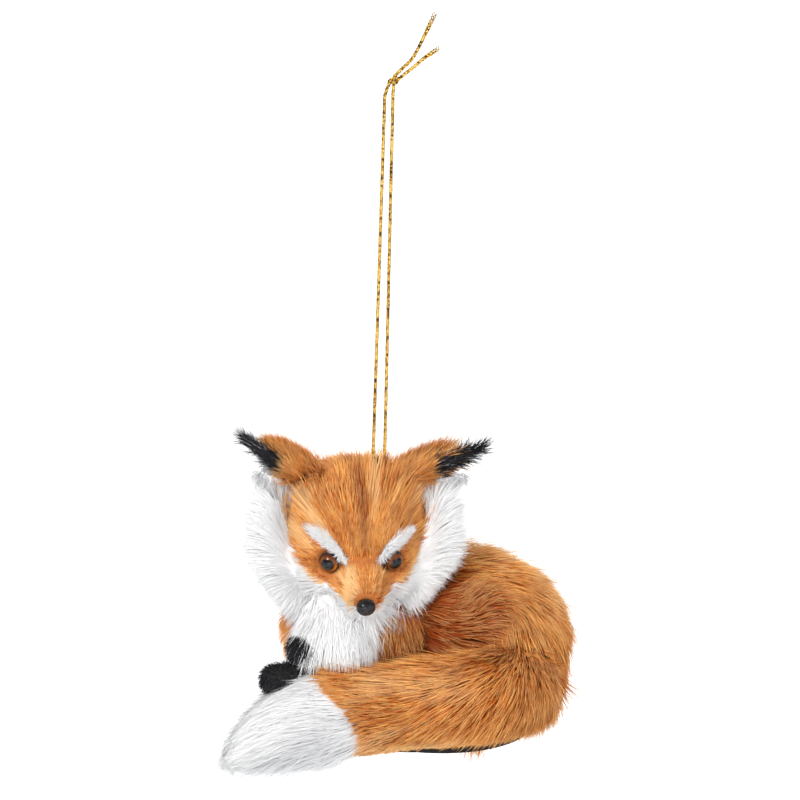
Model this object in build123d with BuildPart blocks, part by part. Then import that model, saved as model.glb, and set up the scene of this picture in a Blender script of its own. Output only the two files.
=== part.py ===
from build123d import *
import math
import os

# A curled fox of fur on moulded forms, hung from a loop of metallic cord. Millimetres and degrees.
# The origin is the inside top of the loop, under its knot, where a hook or a twig carries it.
# +X is to the right of someone who faces the fox, +Y is away from them and +Z is up.
# Left and right are those of the person who faces it.

# Cord: one length, doubled into a loop and knotted, its two ends free above the knot
cord_diameter = 0.9
loop_route = [
    (-0.2, 0.0, 1.2),
    (-1.3, 0.0, -1.2),
    (-1.45, 0.0, -97.8),
    (1.45, 0.0, -97.8),
    (0.72, 0.0, -1.2),
    (0.85, 0.0, 1.2),
]
upper_end_route = [
    (0.85, 0.0, 3.0),
    (2.8, 0.1, 5.2),
    (5.0, 0.0, 7.3),
    (6.7, -0.1, 10.6),
    (8.4, 0.0, 14.6),
    (10.6, 0.2, 19.8),
]
lower_end_route = [
    (1.75, 0.0, 2.2),
    (3.7, -0.1, 4.0),
    (5.9, 0.0, 5.8),
    (8.0, 0.1, 8.0),
    (9.9, 0.0, 9.3),
    (11.9, -0.1, 11.0),
]
arc_share = 0.45
knot_width = 2.9
knot_height = 3.1
knot_side = 0.75
knot_rise = 2.0

# Wire eye that the loop passes through
eye_wire = 0.8
eye_hole = 2.4
eye_play = 0.3
eye_stem = 13.0

# Sole
sole_length = 56.0
sole_depth = 38.0
sole_thickness = 1.6
sole_x = 12.0
sole_y = 7.6

# Body: a moulded form under a pelt
body_length = 67.0
body_depth = 40.0
body_height = 44.0
body_x = 15.5
body_y = 12.6
body_fur = 5.0

# Tail: leaves the rump on the right and comes round in front to the left
tail_thickness = 25.0
tail_root_x = 35.0
tail_root_y = 10.6
tail_lead = 10.5
tail_curl_radius = 15.0
tail_curl_angle = 82.0
tail_front_radius = 157.0
tail_front_angle = 22.0
tail_clear = 0.6
tail_wire_diameter = 1.4
tail_wire_grip = 8.0

# Head: its frame is turned to the right and nods down
head_x = -6.3
head_y = 2.6
head_top_gap = 2.0
head_sink = 8.9
head_yaw = 9.0
head_nod = 18.0
head_width = 36.0
head_height = 34.0
head_depth = 35.0
head_fur = 4.0
muzzle_length = 13.0
muzzle_width = 22.0
muzzle_height = 13.0
muzzle_fur = 1.0
muzzle_low = 2.0

# Neck peg
peg_diameter = 5.0
peg_grip = 9.0
peg_back = 6.0

# Eyes and nose
eye_diameter = 5.0
eye_rise = 2.4
pupil_diameter = 2.7
pupil_depth = 0.6
post_diameter = 1.5
post_length = 7.0
eye_side = 7.6
eye_up = 3.0
eye_setback = 2.7
eye_splay = 25.0
socket_gap = 0.15
nose_width = 4.6
nose_length = 3.6
nose_post = 5.0

# Cheeks, chin and brows. A brow's places are to the side, up and back from the face's front
cheek_width = 13.0
cheek_depth = 18.0
cheek_stand = 2.0
cheek_top = 12.0
cheek_forward = 3.0
jaw_side = 7.0
jaw_drop = 14.5
jaw_forward = 12.0
chin_width = 13.0
chin_height = 8.0
chin_length = 15.0
chin_drop = 5.6
chin_setback = 4.0
brow_width = 3.6
brow_thickness = 2.6
brow_outer = (13.6, 8.8, 9.5)
brow_crest = (8.3, 7.5, 4.1)
brow_inner = (4.1, 4.3, 0.1)

# Ears, with their linings and black locks. The left ear stands higher than the right one
ear_width = 10.5
ear_thickness = 5.0
ear_root = (9.5, 10.5, -3.0)
ear_reach_left = (-13.0, 9.5, -3.5)
ear_reach_right = (15.0, 7.5, -3.5)
lining_width = 7.5
lining_thickness = 4.0
lining_root = (13.5, 10.0, 0.5)
lining_reach_left = (-12.5, 7.5, -3.0)
lining_reach_right = (15.0, 5.0, -3.0)
lock_width = 4.2
lock_thickness = 3.4
lock_root = (12.5, 15.5, 0.0)
lock_reach_left = (-16.0, 8.8, -7.0)
lock_reach_right = (20.0, 4.2, -7.0)

# Neck, chest and front paws
ruff_width = 37.0
ruff_depth = 30.0
ruff_height = 23.0
ruff_x = -3.5
ruff_y = 1.6
bib_width = 19.5
bib_depth = 14.0
bib_height = 22.0
bib_x = -9.3
bib_y = -12.4
bib_lean = 3.0
bib_rise = 2.5
paw_length = 19.0
paw_width = 9.5
paw_height = 8.5
paw_turn = 15.0
lower_paw_tip = (-27.5, -22.5, 21.5)
upper_paw_tip = (-21.0, -19.0, 28.5)

# Places that follow from the sizes
up = (0, 0, 1)
carry = Vector(0, 0, loop_route[2][2])
fox_drop = head_top_gap + head_height + body_height + sole_thickness - head_sink
ground = carry.Z - fox_drop
floor_of_body = ground + sole_thickness
quarter_share = math.sqrt(0.5)


def oval(width, height):
    """An oval of four quarter arcs, for the sketch that is open."""
    corners = [(width / 2, 0), (0, height / 2), (-width / 2, 0), (0, -height / 2)]
    with BuildLine() as outline:
        for start, end in zip(corners, corners[1:] + corners[:1]):
            middle = ((start[0] + end[0]) * quarter_share, (start[1] + end[1]) * quarter_share)
            ThreePointArc(start, middle, end)
    make_face(outline.edges())


def swelling(stations):
    """A soft form through ovals, each a plane, a width and a height, for the part that is open."""
    sections = []
    for plane, width, height in stations:
        with BuildSketch(plane) as section:
            oval(width, height)
        sections.append(section.sketch.face())
    loft(sections=sections)


def cut_by(*larger):
    """Takes the larger pieces out of the part that is open."""
    for piece in larger:
        add(piece.part, mode=Mode.SUBTRACT)


def trim_below(height):
    """Cuts the part that is open flat at a height, for what stands on the sole or on the ground."""
    with BuildSketch(Plane.XY.offset(height)) as patch:
        Rectangle(2 * fox_drop, 2 * fox_drop)
    extrude(to_extrude=patch.sketch, amount=-fox_drop, mode=Mode.SUBTRACT)


def keep(piece, name):
    """Names a finished piece and writes its file."""
    piece.part.label = name
    export_step(piece.part, f"parts/{name}.step")


os.makedirs("parts", exist_ok=True)


# The cord: a taut tube down, through the wire eye and up again, and its two free ends
def bend_radii(route):
    """The largest arcs that the runs of a route allow, one for each of its corners."""
    points = [Vector(*point) for point in route]
    radii = []
    for before, corner, after in zip(points, points[1:], points[2:]):
        turn = (corner - before).get_angle(after - corner)
        shorter = min((corner - before).length, (after - corner).length)
        radii.append(arc_share * shorter / math.tan(math.radians(turn / 2)))
    return radii


def cord_tube(route):
    """A round tube along a route, for the part that is open. Gives its length."""
    with BuildLine() as path:
        FilletPolyline(*route, radius=bend_radii(route))
    line = path.wire()
    with BuildSketch(Plane(origin=line @ 0, z_dir=line % 0)) as section:
        Circle(cord_diameter / 2)
    sweep(sections=section.sketch, path=line)
    return line.length


def report_cord(name, piece, route, length):
    """Prints a tube's length and radii, and its volume over its section times its length."""
    radii = ", ".join(f"{radius:.2f}" for radius in bend_radii(route))
    share = piece.part.volume / (math.pi * (cord_diameter / 2) ** 2 * length)
    print(f"{name}: {length:.1f} long, arc radii {radii}, volume share {share:.4f}")


with BuildPart() as hanging_cord:
    loop_length = cord_tube(loop_route)
keep(hanging_cord, "hanging_cord")
report_cord("loop", hanging_cord, loop_route, loop_length)

with BuildPart() as cord_end_upper:
    upper_end_length = cord_tube(upper_end_route)
keep(cord_end_upper, "cord_end_upper")
report_cord("upper end", cord_end_upper, upper_end_route, upper_end_length)

with BuildPart() as cord_end_lower:
    lower_end_length = cord_tube(lower_end_route)
keep(cord_end_lower, "cord_end_lower")
report_cord("lower end", cord_end_lower, lower_end_route, lower_end_length)

# The overhand knot: a rounded lump that both strands and both ends run into
knot_station_shares = [(-0.5, 0.45), (-0.2, 0.96), (0.2, 0.96), (0.5, 0.45)]
with BuildPart() as cord_knot:
    knot_stations = []
    for rise, width in knot_station_shares:
        knot_plane = Plane(origin=(knot_side, 0, knot_rise + rise * knot_height))
        knot_stations.append((knot_plane, width * knot_width, width * knot_width))
    swelling(knot_stations)
    cut_by(hanging_cord, cord_end_upper, cord_end_lower)
keep(cord_knot, "cord_knot")

# The wire eye: a ring that hangs on the cord, on a stem pushed into the head
ring_radius = (eye_hole + eye_wire) / 2
ring_centre = carry - Vector(0, 0, eye_hole / 2 - eye_play - cord_diameter / 2)
stem_top = ring_centre - Vector(0, 0, ring_radius)
with BuildPart() as hanging_eye:
    with Locations(Plane(origin=ring_centre, z_dir=(1, 0, 0)).location):
        Torus(ring_radius, eye_wire / 2)
    with BuildSketch(Plane(origin=stem_top, z_dir=(0, 0, -1))):
        Circle(eye_wire / 2)
    extrude(amount=eye_stem)
keep(hanging_eye, "hanging_eye")

# The black felt sole, an oval sheet
with BuildPart() as sole:
    with BuildSketch(Plane(origin=(sole_x, sole_y, ground))):
        oval(sole_length, sole_depth)
    extrude(amount=sole_thickness)
keep(sole, "sole")

# The head's frame: its Z axis is the way that the fox looks, its Y axis runs up the face
yaw = math.radians(head_yaw)
nod = math.radians(head_nod)
head_centre = carry + Vector(head_x, head_y, -head_top_gap - head_height / 2)
face = Plane(
    origin=head_centre,
    x_dir=(math.cos(yaw), math.sin(yaw), 0),
    z_dir=(math.sin(yaw) * math.cos(nod), -math.cos(yaw) * math.cos(nod), -math.sin(nod)),
)


def on_face(side, rise, forward):
    """A place in the head's frame."""
    return face.from_local_coords(Vector(side, rise, forward))


def mirrored(place, hand):
    """A place that is given for the right side of the head, on either side."""
    return on_face(hand * place[0], place[1], place[2])


def across_face(rise, forward):
    """A plane square to the way the fox looks, on the head's middle."""
    return Plane(origin=on_face(0, rise, forward), x_dir=face.x_dir, z_dir=face.z_dir)


hands = ((-1, "left"), (1, "right"))

# Each head station: forward, width, height and rise as shares of the head, and the fur's share
head_station_shares = [
    (-0.46, 0.32, 0.32, 0.00, 1.0),
    (-0.37, 0.68, 0.68, 0.00, 1.0),
    (-0.17, 0.96, 0.96, 0.00, 1.0),
    (0.06, 1.00, 1.00, 0.00, 1.0),
    (0.26, 0.92, 0.88, -0.01, 0.8),
    (0.40, 0.78, 0.71, -0.03, 0.4),
    (0.50, 0.62, 0.53, -0.05, 0.25),
    (0.545, 0.48, 0.40, -0.06, 0.25),
]
muzzle_root_share = 0.42
face_front = head_station_shares[-1][0] * head_depth

# Each muzzle station: forward, width and height as shares of the muzzle, and how low it is
muzzle_station_shares = [
    (0.00, 1.00, 1.00, 0.85),
    (0.35, 0.72, 0.80, 1.00),
    (0.70, 0.49, 0.60, 1.10),
    (1.00, 0.31, 0.42, 1.15),
]
muzzle_root = muzzle_root_share * head_depth
nose_seat = muzzle_root + muzzle_length
nose_low = muzzle_station_shares[-1][3] * muzzle_low


def head_stations(fur, first, last):
    """The skull's ovals, drawn in by a thickness of fur."""
    stations = []
    for forward, width, height, rise, fur_share in head_station_shares[first:last]:
        plane = across_face(rise * head_height, forward * head_depth)
        drawn_in = 2 * fur * fur_share
        stations.append((plane, width * head_width - drawn_in, height * head_height - drawn_in))
    return stations


def muzzle_stations(fur):
    """The muzzle's ovals, drawn in by a thickness of fur."""
    stations = []
    for forward, width, height, low in muzzle_station_shares:
        plane = across_face(-low * muzzle_low, muzzle_root + forward * muzzle_length)
        stations.append((plane, width * muzzle_width - 2 * fur, height * muzzle_height - 2 * fur))
    return stations


# The nose: a bead on a post that is pushed into the muzzle
nose_station_shares = [(0.0, 0.92, 0.92), (0.45, 1.0, 0.96), (0.82, 0.76, 0.70), (1.0, 0.40, 0.34)]
with BuildPart() as nose:
    nose_stations = []
    for forward, width, height in nose_station_shares:
        nose_plane = across_face(-nose_low, nose_seat + forward * nose_length)
        nose_stations.append((nose_plane, width * nose_width, height * nose_width))
    swelling(nose_stations)
    with BuildSketch(across_face(-nose_low, nose_seat)):
        Circle(post_diameter / 2)
    extrude(amount=-nose_post)
keep(nose, "nose")


# The eyes: amber domes on black posts, whose heads are the pupils
def eye_plane(hand):
    """The plane of an eye's flat back."""
    splay = math.radians(eye_splay) * hand
    aim = face.x_dir * math.sin(splay) + face.z_dir * math.cos(splay)
    middle = on_face(hand * eye_side, eye_up, face_front - eye_setback)
    return Plane(origin=middle, x_dir=face.y_dir, z_dir=aim)


def socket(hand):
    """Opens an eye's socket, outward from its seat, in the part that is open."""
    with BuildSketch(eye_plane(hand)) as mouth:
        Circle(eye_diameter / 2 + socket_gap)
    extrude(to_extrude=mouth.sketch, amount=2 * eye_diameter, mode=Mode.SUBTRACT)


dome_radius = (eye_diameter**2 / 4 + eye_rise**2) / (2 * eye_rise)
eye_posts = []
for hand, side in hands:
    seat = eye_plane(hand)
    with BuildPart() as eye_post:
        with BuildSketch(seat):
            Circle(pupil_diameter / 2)
        extrude(amount=pupil_depth)
        with BuildSketch(seat):
            Circle(post_diameter / 2)
        extrude(amount=-post_length)
    eye_posts.append(eye_post)
    keep(eye_post, f"eye_post_{side}")
    with BuildPart() as eye_dome:
        with Locations(seat.offset(eye_rise - dome_radius).location):
            Sphere(dome_radius)
        split(bisect_by=seat, keep=Keep.TOP)
        cut_by(eye_post)
    keep(eye_dome, f"eye_{side}")

# The wooden peg that joins the head to the body
peg_seat_share = 0.66
head_floor = head_centre.Z - head_height / 2 + head_fur
body_crown = floor_of_body + peg_seat_share * body_height
with BuildPart() as neck_peg:
    with BuildSketch(Plane(origin=(head_x, head_y + peg_back, head_floor + peg_grip))):
        Circle(peg_diameter / 2)
    extrude(amount=body_crown - head_floor - 2 * peg_grip)
keep(neck_peg, "neck_peg")

# The tail's middle line, seen from above: back to front, round a curl and away to the left
tail_height = ground + tail_clear + tail_thickness / 2
with BuildLine(Plane.XY.offset(tail_height)):
    lead = Line((tail_root_x, tail_root_y), (tail_root_x, tail_root_y - tail_lead))
    curl = JernArc(lead @ 1, lead % 1, radius=tail_curl_radius, arc_size=-tail_curl_angle)
    front = JernArc(curl @ 1, curl % 1, radius=tail_front_radius, arc_size=tail_front_angle)
    grip = Line((tail_root_x, tail_root_y + tail_wire_grip), lead @ 0)

# Each station: a stretch of that line, the place on it, and the thickness and rise as shares
brush_start_share = 0.50
tail_station_shares = [
    (lead, 0.0, 0.80, 0.16),
    (lead, 1.0, 0.94, 0.13),
    (curl, 0.5, 1.00, 0.11),
    (curl, 1.0, 0.98, 0.08),
    (front, 0.22, 0.95, 0.03),
    (front, brush_start_share, 0.96, -0.01),
]
brush_station_shares = [
    (front, brush_start_share, 0.96, -0.01),
    (front, 0.66, 0.93, -0.03),
    (front, 0.80, 0.76, -0.11),
    (front, 0.92, 0.48, -0.22),
    (front, 1.0, 0.22, -0.32),
]


def tail_stations(station_shares):
    """Round sections across the tail's middle line."""
    stations = []
    for stretch, place, thickness, rise in station_shares:
        middle = stretch @ place + Vector(0, 0, rise * tail_thickness)
        plane = Plane(origin=middle, x_dir=up, z_dir=stretch % place)
        stations.append((plane, thickness * tail_thickness, thickness * tail_thickness))
    return stations


# The tail's wire armature, from inside the body to inside the white brush
wire_end_share = 0.68
with BuildPart() as tail_wire:
    with BuildLine() as wire_path:
        add(grip)
        add(lead)
        add(curl)
        add(front.trim(0, wire_end_share))
    with BuildSketch(Plane(origin=grip @ 0, z_dir=grip % 0)):
        Circle(tail_wire_diameter / 2)
    sweep()
keep(tail_wire, "tail_wire")

# The body: each station gives its place along, depth, height and middle's rise as shares
body_station_shares = [
    (0.00, 0.28, 0.26, 0.40),
    (0.06, 0.56, 0.54, 0.42),
    (0.22, 0.82, 0.80, 0.45),
    (0.55, 1.00, 1.00, 0.50),
    (0.80, 0.92, 0.88, 0.46),
    (0.94, 0.64, 0.60, 0.43),
    (1.00, 0.32, 0.30, 0.42),
]


def body_stations(fur, first, last):
    """The body's ovals from one station to another, drawn in by a thickness of fur."""
    stations = []
    chest = body_x - body_length / 2
    for along, depth, height, rise in body_station_shares[first:last]:
        middle = (chest + along * body_length, body_y, floor_of_body + rise * body_height)
        plane = Plane(origin=middle, x_dir=(0, 1, 0), z_dir=(1, 0, 0))
        stations.append((plane, depth * body_depth - 2 * fur, height * body_height - 2 * fur))
    return stations


# The outer shapes of the body, the head and the muzzle, which what lies on them is cut by
with BuildPart() as body_bulk:
    swelling(body_stations(0, 0, None))
    trim_below(floor_of_body)

with BuildPart() as head_bulk:
    swelling(head_stations(0, 0, None))

with BuildPart() as muzzle_bulk:
    swelling(muzzle_stations(0))

# The moulded forms inside: the body's, flat on the sole, and the head's with its muzzle
with BuildPart() as body_form:
    swelling(body_stations(body_fur, 1, -1))
    trim_below(floor_of_body)
    cut_by(neck_peg, tail_wire)
keep(body_form, "body_form")

with BuildPart() as head_form:
    swelling(head_stations(head_fur, 1, None))
    swelling(muzzle_stations(muzzle_fur))
    for hand, side in hands:
        socket(hand)
    cut_by(hanging_eye, neck_peg, nose, *eye_posts)
keep(head_form, "head_form")

# The rust pelts: body, tail, head and muzzle, with the white brush at the tail's end
with BuildPart() as body_pelt:
    add(body_bulk.part)
    cut_by(body_form, neck_peg, tail_wire)
keep(body_pelt, "body_pelt")

with BuildPart() as tail_pelt:
    swelling(tail_stations(tail_station_shares))
    cut_by(body_bulk, sole, tail_wire)
keep(tail_pelt, "tail_pelt")

with BuildPart() as tail_brush:
    swelling(tail_stations(brush_station_shares))
    trim_below(ground)
    cut_by(body_bulk, sole, tail_wire)
keep(tail_brush, "tail_brush")

with BuildPart() as head_pelt:
    add(head_bulk.part)
    for hand, side in hands:
        socket(hand)
    cut_by(body_bulk, head_form, hanging_eye, neck_peg, *eye_posts)
keep(head_pelt, "head_pelt")

with BuildPart() as muzzle_pelt:
    add(muzzle_bulk.part)
    for hand, side in hands:
        socket(hand)
    cut_by(head_bulk, head_form, nose)
keep(muzzle_pelt, "muzzle_pelt")

# The white chin under the muzzle: forward, width, height and drop as shares
chin_station_shares = [
    (0.00, 0.50, 0.60, 0.90),
    (0.35, 0.85, 0.90, 1.45),
    (0.75, 1.00, 1.00, 1.85),
    (1.00, 0.70, 0.65, 1.95),
]
with BuildPart() as chin:
    chin_stations = []
    for back, width, height, low in chin_station_shares:
        chin_plane = across_face(
            -nose_low - low * chin_drop,
            nose_seat - chin_setback - back * chin_length,
        )
        chin_stations.append((chin_plane, width * chin_width, height * chin_height))
    swelling(chin_stations)
    cut_by(head_bulk, muzzle_bulk, nose)
keep(chin, "chin")

# The white cheeks: each swells down from the temple and in under the jaw
cheek_station_shares = [
    (0.0, 0.42, 0.40),
    (0.25, 0.85, 0.82),
    (0.5, 1.00, 1.00),
    (0.78, 0.86, 0.82),
    (1.0, 0.50, 0.55),
]
cheek_side = head_width / 2 + cheek_stand
cheeks = []
for hand, side in hands:
    with BuildLine():
        cheek_line = ThreePointArc(
            mirrored((cheek_side, cheek_top, 0), hand),
            mirrored((cheek_side, 0, cheek_forward), hand),
            mirrored((jaw_side, -jaw_drop, jaw_forward), hand),
        )
    with BuildPart() as cheek:
        cheek_stations = []
        for place, depth, width in cheek_station_shares:
            cheek_plane = Plane(
                origin=cheek_line @ place, x_dir=face.z_dir, z_dir=cheek_line % place
            )
            cheek_stations.append((cheek_plane, depth * cheek_depth, width * cheek_width))
        swelling(cheek_stations)
        cut_by(body_bulk, head_bulk, muzzle_bulk, chin, *cheeks)
    cheeks.append(cheek)
    keep(cheek, f"cheek_{side}")

# The white brows: a slim crescent over each eye, laid on the face
brow_station_shares = [(0.0, 0.5), (0.2, 0.95), (0.5, 1.0), (0.8, 0.75), (1.0, 0.35)]
for hand, side in hands:
    brow_places = []
    for out, rise, back in (brow_outer, brow_crest, brow_inner):
        brow_places.append(on_face(hand * out, rise, face_front - back))
    with BuildLine():
        brow_line = ThreePointArc(*brow_places)
    with BuildPart() as brow:
        brow_stations = []
        for place, width in brow_station_shares:
            brow_plane = Plane(
                origin=brow_line @ place, x_dir=face.z_dir, z_dir=brow_line % place
            )
            brow_stations.append((brow_plane, width * brow_thickness, width * brow_width))
        swelling(brow_stations)
        socket(hand)
        cut_by(head_bulk, muzzle_bulk)
    keep(brow, f"brow_{side}")

# The ears: a rust back, a white lining in front of it and a black lock that runs past the tip
ear_shares = [(0.0, 1.0, 1.0), (0.4, 0.95, 0.92), (0.75, 0.70, 0.72), (1.0, 0.26, 0.40)]
lining_shares = [(0.0, 0.8, 0.7), (0.35, 1.0, 1.0), (0.7, 0.7, 0.8), (1.0, 0.3, 0.4)]
lock_shares = [(0.0, 0.5, 0.6), (0.3, 1.0, 1.0), (0.6, 0.9, 0.9), (0.85, 0.6, 0.6), (1.0, 0.2, 0.2)]


def ear_form(root, reach, hand, shares, width, thickness):
    """A lobe from a root, along its reach, wide up the face and thin from front to back."""
    start = mirrored(root, hand)
    along = face.x_dir * reach[0] + face.y_dir * reach[1] + face.z_dir * reach[2]
    stations = []
    for place, width_share, thickness_share in shares:
        plane = Plane(origin=start + along * place, x_dir=face.y_dir, z_dir=along)
        stations.append((plane, width_share * width, thickness_share * thickness))
    swelling(stations)


ear_reaches = (ear_reach_left, ear_reach_right)
lining_reaches = (lining_reach_left, lining_reach_right)
lock_reaches = (lock_reach_left, lock_reach_right)
for place, (hand, side) in enumerate(hands):
    with BuildPart() as ear:
        ear_form(ear_root, ear_reaches[place], hand, ear_shares, ear_width, ear_thickness)
        cut_by(head_bulk, cheeks[place])
    keep(ear, f"ear_{side}")
    with BuildPart() as lining:
        reach = lining_reaches[place]
        ear_form(lining_root, reach, hand, lining_shares, lining_width, lining_thickness)
        cut_by(head_bulk, cheeks[place], ear)
    keep(lining, f"ear_lining_{side}")
    with BuildPart() as lock:
        ear_form(lock_root, lock_reaches[place], hand, lock_shares, lock_width, lock_thickness)
        cut_by(head_bulk, ear, lining)
    keep(lock, f"ear_lock_{side}")

# The neck ruff, a collar of rust fur between the head and the body
ruff_station_shares = [(0.0, 0.70), (0.30, 0.96), (0.65, 1.00), (1.0, 0.78)]
ruff_top_share = 0.36
with BuildPart() as neck_ruff:
    ruff_top = head_centre.Z - ruff_top_share * head_height
    ruff_stations = []
    for down, width in ruff_station_shares:
        ruff_plane = Plane(origin=(ruff_x, ruff_y, ruff_top - down * ruff_height))
        ruff_stations.append((ruff_plane, width * ruff_width, width * ruff_depth))
    swelling(ruff_stations)
    cut_by(body_bulk, head_bulk, tail_pelt, tail_brush, chin, *cheeks, neck_peg)
keep(neck_ruff, "neck_ruff")

# The white bib on the chest: down, width, depth and forward lean as shares
bib_station_shares = [
    (0.00, 0.62, 0.60, 0.0),
    (0.30, 0.92, 0.92, 0.5),
    (0.60, 1.00, 1.00, 1.0),
    (0.85, 0.82, 0.82, 1.0),
    (1.00, 0.48, 0.50, 0.9),
]
with BuildPart() as bib:
    bib_stations = []
    for down, width, depth, lean in bib_station_shares:
        bib_height_here = ruff_top + bib_rise - down * bib_height
        bib_plane = Plane(origin=(bib_x, bib_y - lean * bib_lean, bib_height_here))
        bib_stations.append((bib_plane, width * bib_width, depth * bib_depth))
    swelling(bib_stations)
    cut_by(body_bulk, head_bulk, muzzle_bulk, tail_pelt, tail_brush, chin, *cheeks, neck_ruff)
keep(bib, "bib")

# The front paws, one over the other, out from under the bib to the left
paw_station_shares = [(0.0, 0.5), (0.10, 0.84), (0.35, 1.0), (0.7, 0.86), (1.0, 0.76)]
paws = []
for name, tip in (("front_paw_lower", lower_paw_tip), ("front_paw_upper", upper_paw_tip)):
    toe = Vector(tip[0], tip[1], ground + tip[2])
    arm = Vector(paw_length, 0, 0).rotate(Axis.Z, paw_turn)
    with BuildPart() as paw:
        paw_stations = []
        for place, width in paw_station_shares:
            paw_plane = Plane(origin=toe + arm * place, x_dir=(0, 1, 0), z_dir=arm)
            paw_stations.append((paw_plane, width * paw_width, width * paw_height))
        swelling(paw_stations)
        cut_by(tail_brush, tail_pelt, body_bulk, neck_ruff, bib, *paws)
    paws.append(paw)
    keep(paw, name)
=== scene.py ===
import math

import bmesh
import bpy
import numpy as np
from mathutils import Matrix, Vector
from mathutils.bvhtree import BVHTree
from mathutils.kdtree import KDTree


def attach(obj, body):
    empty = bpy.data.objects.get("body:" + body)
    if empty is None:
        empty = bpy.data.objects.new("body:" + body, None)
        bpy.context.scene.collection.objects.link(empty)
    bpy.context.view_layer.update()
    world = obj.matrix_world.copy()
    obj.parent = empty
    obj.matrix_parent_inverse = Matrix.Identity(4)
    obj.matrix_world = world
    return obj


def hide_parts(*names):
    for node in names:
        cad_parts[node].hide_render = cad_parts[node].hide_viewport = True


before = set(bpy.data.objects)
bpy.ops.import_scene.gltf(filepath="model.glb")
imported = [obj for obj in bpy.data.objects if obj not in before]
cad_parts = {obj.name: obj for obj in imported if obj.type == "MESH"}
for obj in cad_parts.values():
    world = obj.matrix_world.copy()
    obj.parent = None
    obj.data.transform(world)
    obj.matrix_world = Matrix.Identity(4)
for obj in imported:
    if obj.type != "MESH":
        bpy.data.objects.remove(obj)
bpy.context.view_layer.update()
mm = 0.001

# Camera and light. A long lens looks 18 degrees down at the front of the fox, with the frame
# 200 mm wide and the cord leaning a little to the right. Soft light comes from the upper left.
elevation = math.radians(18)
roll = math.radians(1.79)
aim = Vector((4.85, 0, -81.4)) * mm
lens = 800
sensor_width = 36
frame_width = 200 * mm
rise = Vector((0, math.sin(elevation), math.cos(elevation)))
across = Vector((1, 0, 0))
right = across * math.cos(roll) + rise * math.sin(roll)
above = rise * math.cos(roll) - across * math.sin(roll)
behind = right.cross(above)


def put_in_scene(name, data):
    """A new object that holds the data, linked into the scene."""
    holder = bpy.data.objects.new(name, data)
    bpy.context.scene.collection.objects.link(holder)
    return holder


camera = put_in_scene("camera", bpy.data.cameras.new("camera"))
camera.data.lens = lens
camera.data.sensor_width = sensor_width
camera.data.clip_end = 50
place = aim + behind * (frame_width * lens / sensor_width)
turned = Matrix((right, above, behind)).transposed()
camera.matrix_world = Matrix.Translation(place) @ turned.to_4x4()
bpy.context.scene.camera = camera
bpy.context.scene.view_settings.view_transform = "Standard"


def soft_box(name, where, size, watts, tint):
    """A square lamp that faces the middle of the fox."""
    lamp = bpy.data.lights.new(name, "AREA")
    lamp.size = size
    lamp.energy = watts
    lamp.color = tint
    holder = put_in_scene(name, lamp)
    holder.location = Vector(where)
    toward = Vector((0, 0, -0.13)) - holder.location
    holder.rotation_euler = toward.to_track_quat("-Z", "Y").to_euler()


soft_box("key_lamp", (-0.55, -0.85, 0.65), 0.42, 8.5, (1.0, 0.985, 0.96))
soft_box("fill_lamp", (0.9, -0.75, 0.1), 0.9, 2.2, (1.0, 1.0, 1.0))
soft_box("low_lamp", (-0.1, -0.95, -0.42), 0.7, 1.6, (1.0, 1.0, 1.0))
soft_box("back_lamp", (0.35, 0.95, 0.6), 0.8, 2.6, (1.0, 1.0, 1.0))

# Floor and surroundings. The floor is far below the hung fox. Both read as white to the camera,
# and the room gives an even pale light and is dimmer in gloss.
air_tint = (0.97, 0.985, 1.0, 1)
floor_drop = 0.6


def feed(tree, node, inputs):
    """Gives each of a node's inputs its value, or a link from another node's output."""
    for socket, value in inputs.items():
        if isinstance(value, bpy.types.NodeSocket):
            tree.links.new(value, node.inputs[socket])
        else:
            node.inputs[socket].default_value = value


def add_node(tree, kind, inputs):
    """A new node with its inputs given."""
    node = tree.nodes.new(kind)
    feed(tree, node, inputs)
    return node


def math_of(tree, operation, *terms):
    """The result of a Math node on values or other nodes' outputs."""
    node = tree.nodes.new("ShaderNodeMath")
    node.operation = operation
    feed(tree, node, dict(enumerate(terms)))
    return node.outputs[0]


def seen_directly(tree):
    """A value of 1 for what the camera sees, also through a clear piece, and 0 for light."""
    path = tree.nodes.new("ShaderNodeLightPath")
    return math_of(
        tree, "MAXIMUM", path.outputs["Is Camera Ray"], path.outputs["Is Transmission Ray"]
    )


def mesh_from(name, shape):
    """A mesh of what a bmesh holds, which is freed."""
    mesh = bpy.data.meshes.new(name)
    shape.to_mesh(mesh)
    shape.free()
    return mesh


world = bpy.data.worlds.new("pale_room")
bpy.context.scene.world = world
world.use_nodes = True
tree = world.node_tree
tree.nodes.clear()
white_air = add_node(tree, "ShaderNodeBackground", {"Color": (1, 1, 1, 1)})
soft_air = add_node(tree, "ShaderNodeBackground", {"Color": air_tint, "Strength": 0.86})
gloss_air = add_node(tree, "ShaderNodeBackground", {"Color": air_tint, "Strength": 0.28})
sky_path = tree.nodes.new("ShaderNodeLightPath")
in_gloss = add_node(tree, "ShaderNodeMixShader", {
    0: sky_path.outputs["Is Glossy Ray"], 1: soft_air.outputs[0], 2: gloss_air.outputs[0],
})
choice = add_node(tree, "ShaderNodeMixShader", {
    0: seen_directly(tree), 1: in_gloss.outputs[0], 2: white_air.outputs[0],
})
add_node(tree, "ShaderNodeOutputWorld", {"Surface": choice.outputs[0]})

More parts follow.
